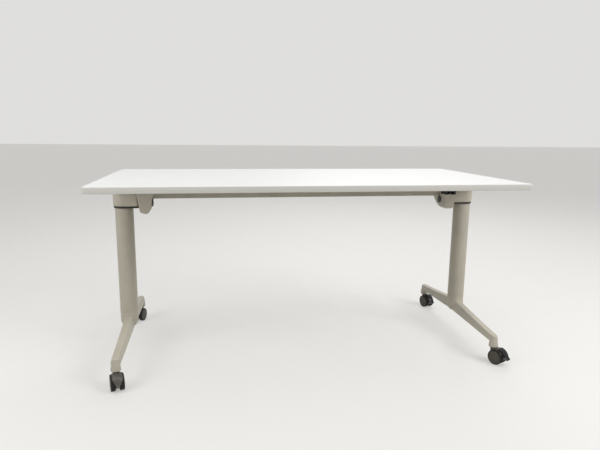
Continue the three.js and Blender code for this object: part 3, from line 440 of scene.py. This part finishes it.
WARM_GREY = (0.58, 0.54, 0.445)
materials = {
    "white_laminate": laminate("white_laminate", (0.88, 0.88, 0.87)),
    "white_edge": edging("white_edge", (0.74, 0.722, 0.68)),
    "grey_casting": powder_coat("grey_casting", WARM_GREY, grain=1100),
    "grey_tube": powder_coat("grey_tube", scaled(WARM_GREY, 0.97), grain=1300),
    "black_steel": powder_coat("black_steel", (0.009, 0.009, 0.0095), grain=1200),
    "steel": bare_metal("steel", (0.62, 0.63, 0.64), rough=(0.24, 0.40), along=(40, 1500, 1500)),
    "bronze": bare_metal("bronze", (0.45, 0.30, 0.13), rough=(0.36, 0.52), along=(900, 900, 900)),
    "black_plastic": moulded(
        "black_plastic", (0.006, 0.006, 0.0065), grain=1500, rough=(0.20, 0.30), specular=0.3),
    "hood_plastic": moulded(
        "hood_plastic", (0.085, 0.077, 0.065), grain=1700, rough=(0.22, 0.36), coat=0.25),
    "disc_plastic": moulded("disc_plastic", (0.066, 0.056, 0.042), grain=1400, rough=(0.42, 0.56)),
    "tyre_rubber": rubber("tyre_rubber", (0.010, 0.010, 0.010)),
}


def paint_frame():
    """Every CAD node takes the finish of its slot."""
    for part in record["subparts"]:
        mesh = frame["nodes"][part["node"]].data
        mesh.materials.clear()
        mesh.materials.append(materials[part["material_slot"]])


paint_frame()
slot_of = {part["node"]: part["material_slot"] for part in record["subparts"]}
body_of = {node: body for body, nodes in record["behaviour"]["bodies"].items() for node in nodes}


# Mesh helpers

def to_object(name, bm):
    bmesh.ops.recalc_face_normals(bm, faces=bm.faces)
    mesh = bpy.data.meshes.new(name)
    bm.to_mesh(mesh)
    bm.free()
    piece = bpy.data.objects.new(name, mesh)
    bpy.context.scene.collection.objects.link(piece)
    return piece


def apply_modifiers(piece):
    graph = bpy.context.evaluated_depsgraph_get()
    graph.update()
    mesh = bpy.data.meshes.new_from_object(piece.evaluated_get(graph))
    piece.modifiers.clear()
    piece.data = mesh


def smooth(piece, angle=30):
    for polygon in piece.data.polygons:
        polygon.use_smooth = True
    piece.data.set_sharp_from_angle(angle=math.radians(angle))


def settle(piece, body, slot, *nodes):
    """Gives a finished piece its material and its body, and hides the CAD nodes that it stands for."""
    piece.data.materials.clear()
    piece.data.materials.append(materials[slot])
    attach(piece, body)
    if nodes:
        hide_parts(*nodes)


def node_mesh(node):
    bm = bmesh.new()
    bm.from_mesh(frame["nodes"][node].data)
    bmesh.ops.remove_doubles(bm, verts=bm.verts, dist=WELD)
    return bm


def lathe(bm, profile, segments, place=Matrix.Identity(4)):
    """Turns a profile of (radius, height) pairs in millimetres about the local Z axis."""
    rings = []
    for radius, height in profile:
        if radius == 0:
            rings.append([bm.verts.new(place @ Vector((0, 0, height * MM)))])
            continue
        ring = []
        for i in range(segments):
            turn = 2 * math.pi * i / segments
            point = Vector((radius * math.cos(turn), radius * math.sin(turn), height)) * MM
            ring.append(bm.verts.new(place @ point))
        rings.append(ring)
    for lower, upper in zip(rings, rings[1:]):
        for i in range(segments):
            corners = [lower[i % len(lower)], lower[(i + 1) % len(lower)],
                       upper[(i + 1) % len(upper)], upper[i % len(upper)]]
            unique = list(dict.fromkeys(corners))
            if len(unique) > 2:
                bm.faces.new(unique)


def closed_lathe(bm, profile, segments, place):
    """The same for a ring: the profile's last point joins its first."""
    lathe(bm, [*profile, profile[0]], segments, place)
    bmesh.ops.remove_doubles(bm, verts=bm.verts, dist=WELD)


def arc_points(x, y, radius, start, end, steps):
    points = []
    for i in range(steps + 1):
        angle = math.radians(start + (end - start) * i / steps)
        points.append((x + radius * math.cos(angle), y + radius * math.sin(angle)))
    return points


def skin(bm, rings, closed_rows=False):
    """Joins rings of vertices that have the same length. Open rows get a cap at both ends."""
    count = len(rings[0])
    following = rings[1:] + rings[:1] if closed_rows else rings[1:]
    for lower, upper in zip(rings, following):
        for i in range(count):
            bm.faces.new((lower[i], lower[(i + 1) % count], upper[(i + 1) % count], upper[i]))
    if not closed_rows:
        bm.faces.new(reversed(rings[0]))
        bm.faces.new(rings[-1])


def ring_of(bm, points):
    return [bm.verts.new(Vector(point) * MM) for point in points]


# Tabletop: board with its edge strip

def top_outline(inset, height):
    x = TOP_LENGTH / 2 - inset
    y = TOP_DEPTH / 2 - inset
    radius = TOP_CORNER - inset
    quarters = ((1, 1, 0), (-1, 1, 90), (-1, -1, 180), (1, -1, 270))
    points = []
    for right, rear, start in quarters:
        centre = (right * (x - radius), rear * (y - radius))
        arc = arc_points(*centre, radius, start, start + 90, CORNER_STEPS)
        points += [(*point, height) for point in arc]
    return points


def tabletop():
    low = TOP_HEIGHT - TOP_THICKNESS
    inset = EDGE_BAND + SEAT_GAP
    levels = [
        (inset + BOARD_BREAK, low),
        (inset, low + BOARD_BREAK),
        (inset, TOP_HEIGHT - BOARD_BREAK),
        (inset + BOARD_BREAK, TOP_HEIGHT),
    ]
    bm = bmesh.new()
    skin(bm, [ring_of(bm, top_outline(*level)) for level in levels])
    board = to_object("tabletop_laminate", bm)
    smooth(board)
    settle(board, "top", "white_laminate", "tabletop_board")

    section = [(EDGE_BAND, low), (EDGE_BAND, TOP_HEIGHT)]
    section += arc_points(EDGE_ROUND, TOP_HEIGHT - EDGE_ROUND, EDGE_ROUND, 90, 180, EDGE_STEPS)
    section += arc_points(EDGE_ROUND, low + EDGE_ROUND, EDGE_ROUND, 180, 270, EDGE_STEPS)
    bm = bmesh.new()
    skin(bm, [ring_of(bm, top_outline(*point)) for point in section], closed_rows=True)
    strip = to_object("tabletop_edge_strip", bm)
    smooth(strip)
    settle(strip, "top", "white_edge", "edge_band")


tabletop()


# Castings: the CAD solids with soft, poured corners

def soften(piece, voxel, rounds, share, target=None):
    """Adds an even fine mesh, laid on the target where there is one, then rounded and thinned out."""
    remesh = piece.modifiers.new("remesh", "REMESH")
    remesh.mode = "VOXEL"
    remesh.voxel_size = voxel * MM
    if target:
        true = piece.modifiers.new("true", "SHRINKWRAP")
        true.target = target
    relax = piece.modifiers.new("relax", "SMOOTH")
    relax.factor = 0.5
    relax.iterations = rounds
    thin = piece.modifiers.new("thin", "DECIMATE")
    thin.ratio = share


def casting(node, voxel, rounds, share):
    piece = to_object(f"{node}_casting", node_mesh(node))
    soften(piece, voxel, rounds, share, frame["nodes"][node])
    apply_modifiers(piece)
    smooth(piece, angle=50)
    settle(piece, body_of[node], slot_of[node], node)


for side in SIDES:
    casting(f"foot_{side}", voxel=1.0, rounds=2, share=0.2)
    casting(f"head_{side}", voxel=1.2, rounds=4, share=0.4)
    casting(f"hinge_housing_{side}", voxel=1.0, rounds=4, share=0.4)
casting("release_lever", voxel=0.8, rounds=4, share=0.35)


# Plates, blocks and beam: the CAD solids with broken edges

def broken_edges(node, width):
    bm = node_mesh(node)
    bmesh.ops.dissolve_limit(bm, angle_limit=math.radians(FLAT_ANGLE), verts=bm.verts, edges=bm.edges)
    piece = to_object(f"{node}_finished", bm)
    bevel = piece.modifiers.new("bevel", "BEVEL")
    bevel.width = width * MM
    bevel.segments = BEVEL_STEPS
    bevel.limit_method = "ANGLE"
    bevel.angle_limit = math.radians(BEVEL_ANGLE)
    apply_modifiers(piece)
    smooth(piece, angle=34)
    settle(piece, body_of[node], slot_of[node], node)


for side in SIDES:
    broken_edges(f"head_plate_{side}", width=0.6)
    broken_edges(f"tilt_bracket_{side}", width=0.6)
    broken_edges(f"latch_block_{side}", width=0.5)
    broken_edges(f"pawl_{side}", width=0.4)
broken_edges("beam", width=0.5)


# Posts: smooth tubes with chamfered ends

def post(side):
    low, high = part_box(f"post_{side}")
    middle = (low + high) / 2
    bottom = low.z / MM
    top = high.z / MM
    bm = bmesh.new()
    closed_lathe(bm, [
        (POST_RADIUS - POST_WALL, bottom),
        (POST_RADIUS - POST_BREAK, bottom),
        (POST_RADIUS, bottom + POST_BREAK),
        (POST_RADIUS, top - POST_BREAK),
        (POST_RADIUS - POST_BREAK, top),
        (POST_RADIUS - POST_WALL, top),
    ], FINE, Matrix.Translation((middle.x, middle.y, 0)))
    piece = to_object(f"post_tube_{side}", bm)
    smooth(piece)
    settle(piece, "frame", "grey_tube", f"post_{side}")


for side in SIDES:
    post(side)


# Fasteners: button heads with a hexagon socket

def hexagon(radius, turn):
    sixth = math.pi / 3
    return radius * math.cos(sixth / 2) / math.cos(turn % sixth - sixth / 2)


def screw(bm, place, radius, height):
    """A domed head that stands on local z = 0 and points to +Z."""
    socket = SOCKET_WIDTH * radius
    profile = [(width * radius, rise * height, False) for width, rise in BUTTON_HEAD]
    profile += [(SOCKET_LAND * socket, height, False), (socket, height, True)]
    profile += [(socket, height - SOCKET_DEPTH * height, True)]
    rings = []
    for size, level, six_sided in profile:
        ring = []
        for i in range(SCREW_FACETS):
            turn = 2 * math.pi * i / SCREW_FACETS
            reach = hexagon(size, turn) if six_sided else size
            point = Vector((reach * math.cos(turn), reach * math.sin(turn), level)) * MM
            ring.append(bm.verts.new(place @ point))
        rings.append(ring)
    skin(bm, rings)


def screws(name, body, size, places):
    bm = bmesh.new()
    for place in places:
        screw(bm, place, *size)
    piece = to_object(name, bm)
    smooth(piece)
    settle(piece, body, "steel")


def at(x, y, z, down=False):
    place = Matrix.Translation(Vector((x, y, z)) * MM)
    return place @ Matrix.Rotation(math.pi, 4, "X") if down else place


def fasteners(side, sign):
    hinge = sign * HINGE_X
    flange_bottom = TOP_HEIGHT - TOP_THICKNESS - FLANGE_THICKNESS - SEAT_GAP
    screws(f"bracket_screws_{side}", "top", FLANGE_SCREW, [
        at(hinge + x, PIVOT_Y + y, flange_bottom, down=True)
        for x in (-FLANGE_SCREWS_X, FLANGE_SCREWS_X) for y in FLANGE_SCREWS_Y
    ])
    screws(f"block_screws_{side}", "frame", BLOCK_SCREW, [
        at(hinge + x, PIVOT_Y + BLOCK_SCREWS_Y, PIVOT_Z + HOUSING_TOP)
        for x in (-BLOCK_SCREWS_X, BLOCK_SCREWS_X)
    ])
    low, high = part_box(f"post_{side}")
    middle = (low + high) / 2 / MM
    screws(f"plate_screws_{side}", "frame", PLATE_SCREW, [
        at(middle.x - sign * PLATE_SCREWS_X, middle.y + y, high.z / MM + SEAT_GAP, down=True)
        for y in (-PLATE_SCREWS_Y, PLATE_SCREWS_Y)
    ])
    screws(f"hub_bolt_{side}", "frame", HUB_BOLT, [at(middle.x, middle.y, HUB_BOTTOM, down=True)])


for side, sign in SIDES.items():
    fasteners(side, sign)


# Pivot caps, shaft and spring: the CAD's coarse rounds redrawn smooth

def across(x, y, z, sign=1):
    """Local Z points along +X or -X."""
    return Matrix.Translation(Vector((x, y, z)) * MM) @ Matrix.Rotation(sign * math.pi / 2, 4, "Y")


def pivot_cap(side, sign):
    profile = [(0, SEAT_GAP), (CAP_RADIUS, SEAT_GAP)]
    profile += [(CAP_RADIUS - inset, CAP_THICKNESS - depth) for inset, depth in CAP_RIM]
    profile += [(radius, CAP_THICKNESS - depth) for radius, depth in CAP_DISH]
    bm = bmesh.new()
    lathe(bm, profile, ROUND, across(sign * (HINGE_X - HOUSING_HALF), PIVOT_Y, PIVOT_Z, -sign))
    piece = to_object(f"pivot_cover_{side}", bm)
    smooth(piece, angle=40)
    settle(piece, "frame", "black_plastic", f"pivot_cap_{side}")


def sync_shaft():
    low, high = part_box("sync_shaft")
    length = (high.x - low.x) / MM
    bm = bmesh.new()
    lathe(bm, [
        (0, 0),
        (SHAFT_RADIUS - SHAFT_BREAK, 0),
        (SHAFT_RADIUS, SHAFT_BREAK),
        (SHAFT_RADIUS, length - SHAFT_BREAK),
        (SHAFT_RADIUS - SHAFT_BREAK, length),
        (0, length),
    ], SMALL, across(low.x / MM, PIVOT_Y - SHAFT_FORWARD, PIVOT_Z + SHAFT_RISE))
    piece = to_object("release_shaft", bm)
    smooth(piece)
    settle(piece, "release", "steel", "sync_shaft")


def spring_point(along):
    """A point on the torsion spring's wire: a straight leg, the coil, and another leg."""
    inside = min(max(along, 0), SPRING_COIL)
    turn = inside / SPRING_RADIUS
    past = along - inside
    return Vector((
        HINGE_X + SPRING_START + turn / (2 * math.pi) * SPRING_PITCH,
        PIVOT_Y - SHAFT_FORWARD + SPRING_RADIUS * math.cos(turn) - past * math.sin(turn),
        PIVOT_Z + SHAFT_RISE + SPRING_RADIUS * math.sin(turn) + past * math.cos(turn),
    ))


def return_spring():
    total = SPRING_COIL + 2 * SPRING_LEG
    near = 0.05
    bm = bmesh.new()
    rings = []
    for i in range(SPRING_STEPS + 1):
        along = total * i / SPRING_STEPS - SPRING_LEG
        point = spring_point(along)
        ahead = (spring_point(along + near) - spring_point(along - near)).normalized()
        out = ahead.cross(Vector((1, 0, 0))).normalized()
        over = out.cross(ahead)
        ring = []
        for k in range(WIRE_FACETS):
            turn = 2 * math.pi * k / WIRE_FACETS
            offset = (out * math.cos(turn) + over * math.sin(turn)) * SPRING_WIRE / 2
            ring.append(point + offset)
        rings.append(ring_of(bm, ring))
    skin(bm, rings)
    piece = to_object("return_spring_wire", bm)
    smooth(piece, angle=60)
    settle(piece, "frame", "steel", "return_spring")


for side, sign in SIDES.items():
    pivot_cap(side, sign)
sync_shaft()
return_spring()


# Castors, drawn about the stem with the wheels trailing to -Y, as in the CAD model

def polar(radius, angle, x=0.0):
    turn = math.radians(angle)
    return (x, -TRAIL + radius * math.cos(turn), WHEEL_RADIUS + radius * math.sin(turn))


def axle_frame(sign):
    """Local Z points outwards along the axle."""
    axle = Matrix.Translation((0, -TRAIL * MM, WHEEL_RADIUS * MM))
    return axle @ Matrix.Rotation(sign * math.pi / 2, 4, "Y")


def tyre_mesh(sign):
    """A soft ring with round shoulders and a shallow groove round the tread."""
    shoulder = TREAD_SHOULDER
    groove = TREAD_GROOVE
    middle = (WHEEL_INNER + WHEEL_OUTER) / 2
    rise = WHEEL_RADIUS - shoulder
    near = arc_points(WHEEL_INNER + shoulder, rise, shoulder, 180, 90, SHOULDER_STEPS)
    far = arc_points(WHEEL_OUTER - shoulder, rise, shoulder, 90, 0, SHOULDER_STEPS)
    section = [
        (WHEEL_INNER, TYRE_INNER),
        *near,
        (middle - 2 * groove, WHEEL_RADIUS),
        (middle - groove, WHEEL_RADIUS - groove),
        (middle + groove, WHEEL_RADIUS - groove),
        (middle + 2 * groove, WHEEL_RADIUS),
        *far,
        (WHEEL_OUTER, TYRE_INNER),
    ]
    bm = bmesh.new()
    closed_lathe(bm, [(radius, along) for along, radius in section], ROUND, axle_frame(sign))
    return bm


def disc_mesh(sign):
    """A dished disc with a rim lip, a stepped web, a small hub cap and a blind bore for the axle."""
    rim = TYRE_INNER - DISC_GAP
    back = WHEEL_INNER + DISC_BACK
    profile = [(0, AXLE_END), (AXLE_BORE, AXLE_END), (AXLE_BORE, back)]
    profile += [(rim - DISC_CHAMFER, back), (rim, back + DISC_CHAMFER)]
    profile += [(rim - inset, WHEEL_OUTER + rise) for inset, rise in DISC_RIM]
    profile += [(radius, WHEEL_OUTER + rise) for radius, rise in DISC_HUB]
    bm = bmesh.new()
    lathe(bm, profile, ROUND, axle_frame(sign))
    return bm


def shield_half(height):
    """Half the shield's width, which narrows from its shoulder down to its toe."""
    share = min(max((height - WHEEL_RADIUS) / SHIELD_SHOULDER, 0.0), 1.0)
    return SHIELD_TOE_HALF + (SHIELD_HALF - SHIELD_TOE_HALF) * share ** SHIELD_EASE


def hood_radius(angle):
    """Outer radius of the hood, with a narrow groove across it."""
    groove = GROOVE_DEPTH if abs(angle - GROOVE_ANGLE) < GROOVE_HALF else 0.0
    return HOOD_OUTER - groove


def shield_section(angle):
    """One cross section of the shield: outer face with a slight crown, then the inner face."""
    _, _, height = polar(HOOD_OUTER, angle)
    half = shield_half(height)
    outer = []
    inner = []
    for i in range(SHIELD_COLUMNS + 1):
        across_share = 2 * i / SHIELD_COLUMNS - 1
        crown = SHIELD_CROWN * across_share ** 4
        outer.append(polar(hood_radius(angle) - crown, angle, across_share * half))
        inner.append(polar(HOOD_INNER, angle, across_share * half))
    return outer + inner[::-1]


def hood_mesh():
    """Shield, middle web and neck, which overlap until they are remeshed as one."""
    bm = bmesh.new()
    angles = [HOOD_START + (HOOD_END - HOOD_START) * i / HOOD_STEPS for i in range(HOOD_STEPS + 1)]
    skin(bm, [ring_of(bm, shield_section(angle)) for angle in angles])
    shoulder = NECK_TOP - WEB_SHOULDER
    side = [(WEB_REAR, WHEEL_RADIUS), (WEB_REAR, shoulder), (-WEB_REAR, shoulder)]
    side += [polar(hood_radius(angle), angle)[1:] for angle in angles]
    side += [(-TRAIL + ahead, height) for ahead, height in WEB_UNDERSIDE]
    skin(bm, [ring_of(bm, [(x, y, z) for y, z in side]) for x in (-WEB_HALF, WEB_HALF)])
    lathe(bm, [(radius, NECK_TOP - depth) for radius, depth in NECK_SECTION], SMALL)
    return bm


def pedal_mesh():
    """A smooth curved cover with a slight crown, and a lip to lift it by."""
    bm = bmesh.new()
    rings = []
    for i in range(PEDAL_STEPS + 1):
        share = i / PEDAL_STEPS
        angle = PEDAL_START + (PEDAL_END - PEDAL_START) * share
        flare = min(1.0, PEDAL_HINGE_WIDTH + PEDAL_HINGE_FLARE * share)
        half = PEDAL_HALF * (1 - PEDAL_TAPER * share) * flare
        edge = half - PEDAL_BEVEL
        end = PEDAL_END_THICKNESS if i in (0, PEDAL_STEPS) else 1.0
        lip = PEDAL_BEAK * max(0.0, (share - LIP_START) / (1 - LIP_START)) ** LIP_CURVE
        under = PEDAL_INNER + LIP_UNDER * lip
        over = PEDAL_INNER + PEDAL_THICKNESS * end - PEDAL_CROWN + lip
        ahead = angle + LIP_TURN * lip
        rings.append(ring_of(bm, [
            polar(under, angle, -edge),
            polar(under, angle, edge),
            polar(under + PEDAL_BEVEL, angle, half),
            polar(over - PEDAL_BEVEL, ahead, half),
            polar(over, ahead, edge),
            polar(over + CROWN_SIDE * PEDAL_CROWN, ahead, half / 2),
            polar(over + PEDAL_CROWN, ahead),
            polar(over + CROWN_SIDE * PEDAL_CROWN, ahead, -half / 2),
            polar(over, ahead, -edge),
            polar(over - PEDAL_BEVEL, ahead, -half),
            polar(under + PEDAL_BEVEL, angle, -half),
        ]))
    skin(bm, rings)
    hinge = Vector(polar(PEDAL_INNER + PEDAL_THICKNESS / 2, PEDAL_START)) * MM
    lift = Matrix.Translation(hinge) @ Matrix.Rotation(math.radians(-PEDAL_LIFT), 4, "X")
    bmesh.ops.transform(bm, matrix=lift @ Matrix.Translation(-hinge), verts=bm.verts)
    return bm


def hood_bores():
    """The spaces for the axle and the stem."""
    bm = bmesh.new()
    lathe(bm, [
        (0, -BORE_REACH), (AXLE_BORE, -BORE_REACH), (AXLE_BORE, BORE_REACH), (0, BORE_REACH),
    ], SMALL, axle_frame(1))
    lathe(bm, [(0, STEM_END), (STEM_BORE, STEM_END), (STEM_BORE, BORE_TOP), (0, BORE_TOP)], SMALL)
    return to_object("hood_bores", bm)


def mesh_only(piece):
    """Takes the finished mesh and drops the object that it was made on."""
    mesh = piece.data
    bpy.data.objects.remove(piece)
    return mesh


def moulded_hood():
    piece = to_object("castor_hood_pattern", hood_mesh())
    soften(piece, voxel=0.6, rounds=4, share=0.25)
    bores = hood_bores()
    drill = piece.modifiers.new("drill", "BOOLEAN")
    drill.operation = "DIFFERENCE"
    drill.object = bores
    apply_modifiers(piece)
    smooth(piece, angle=50)
    bpy.data.objects.remove(bores)
    return mesh_only(piece)


def built(bm):
    piece = to_object("pattern", bm)
    smooth(piece, angle=40)
    return mesh_only(piece)


def instance(name, mesh, place):
    copy = mesh.copy()
    copy.name = name
    copy.transform(place)
    piece = bpy.data.objects.new(name, copy)
    bpy.context.scene.collection.objects.link(piece)
    return piece


hood = moulded_hood()
pedal = built(pedal_mesh())
wheels = {
    "inner": (built(tyre_mesh(1)), built(disc_mesh(1))),
    "outer": (built(tyre_mesh(-1)), built(disc_mesh(-1))),
}

for corner in CORNERS:
    stem = joints[f"swivel_{corner}"]["pos_m"]
    axle = joints[f"roll_{corner}_inner"]["axis"]
    swivel = Matrix.Rotation(math.atan2(axle[1], axle[0]), 4, "Z")
    place = Matrix.Translation((stem[0], stem[1], 0)) @ swivel
    settle(instance(f"hood_{corner}", hood, place), f"castor_{corner}", "hood_plastic",
           f"castor_hood_{corner}")
    for where, (tyre, disc) in wheels.items():
        body = f"wheel_{corner}_{where}"
        settle(instance(f"tread_{corner}_{where}", tyre, place), body, "tyre_rubber",
               f"tyre_{corner}_{where}")
        settle(instance(f"disc_{corner}_{where}", disc, place), body, "disc_plastic",
               f"wheel_disc_{corner}_{where}")
    if f"pedal_{corner}" in frame["bodies"]:
        settle(instance(f"pedal_tread_{corner}", pedal, place), f"pedal_{corner}", "black_plastic",
               f"brake_pedal_{corner}")


# Floor and light

def seen_rays(tree):
    """One for rays that show the backdrop itself, straight on, mirrored or through glass."""
    rays = tree.nodes.new("ShaderNodeLightPath")
    seen = rays.outputs["Is Camera Ray"]
    for kind in ("Is Glossy Ray", "Is Transmission Ray"):
        either = tree.nodes.new("ShaderNodeMath")
        either.operation = "MAXIMUM"
        tree.links.new(seen, either.inputs[0])
        tree.links.new(rays.outputs[kind], either.inputs[1])
        seen = either.outputs[0]
    return seen


def make_floor():
    """A sheet that looks pale, keeps the object's shadow and throws little light back up at it."""
    bm = bmesh.new()
    corners = [(-1, -1), (1, -1), (1, 1), (-1, 1)]
    bm.faces.new([bm.verts.new((FLOOR_HALF * x, FLOOR_HALF * y, 0)) for x, y in corners])
    floor = to_object("floor", bm)
    look = Nodes("floor")
    seen = seen_rays(look.tree)
    glow = look.spread(seen, low=0.0, high=FLOOR_GLOW, start=0.0, end=1.0)
    look.link(glow, look.shader.inputs["Emission Strength"])
    look.shader.inputs["Emission Color"].default_value = (*FLOOR_TONE, 1)
    bounce = look.shades(look.noise(3), scaled(FLOOR_BOUNCE, 0.96), FLOOR_BOUNCE)
    tone = look.tint(bounce, seen, FLOOR_TONE)
    rough = look.spread(look.noise(8), low=0.6, high=0.7)
    grit = look.bump(look.noise(400), distance=0.0002, strength=0.05)
    floor.data.materials.append(look.finish(tone, rough, grit))


def area_light(name, place, target, size, power):
    data = bpy.data.lights.new(name, "AREA")
    data.shape = "RECTANGLE"
    data.size, data.size_y = size
    data.energy = power
    lamp = bpy.data.objects.new(name, data)
    lamp.location = place
    lamp.rotation_euler = (Vector(target) - Vector(place)).to_track_quat("-Z", "Y").to_euler()
    bpy.context.scene.collection.objects.link(lamp)


def make_world():
    """Even light on the object, and a paler backdrop for what sees it directly or mirrored."""
    world = bpy.data.worlds.new("studio")
    bpy.context.scene.world = world
    world.use_nodes = True
    tree = world.node_tree
    back = tree.nodes["Background"]
    shade = tree.nodes.new("ShaderNodeMix")
    shade.data_type = "RGBA"
    shade.inputs["A"].default_value = AMBIENT
    shade.inputs["B"].default_value = BACKDROP
    tree.links.new(seen_rays(tree), shade.inputs["Factor"])
    tree.links.new(shade.outputs["Result"], back.inputs["Color"])


def make_light():
    area_light("overhead", place=(0.3, -0.3, 3.2), target=(0.1, 0, 0.7), size=(4.0, 3.0), power=38)
    area_light("key", place=(3.0, -2.4, 2.7), target=(0.5, 0, 0.3), size=(2.0, 1.8), power=82)
    area_light("fill", place=(-2.4, -1.2, 1.7), target=(-0.8, 0, 0.3), size=(1.4, 1.4), power=24)
    area_light("rear", place=(1.4, 3.2, 3.3), target=(0, 0, 0.2), size=(2.0, 1.8), power=36)


make_floor()
make_world()
make_light()
bpy.context.scene.view_settings.view_transform = "Standard"
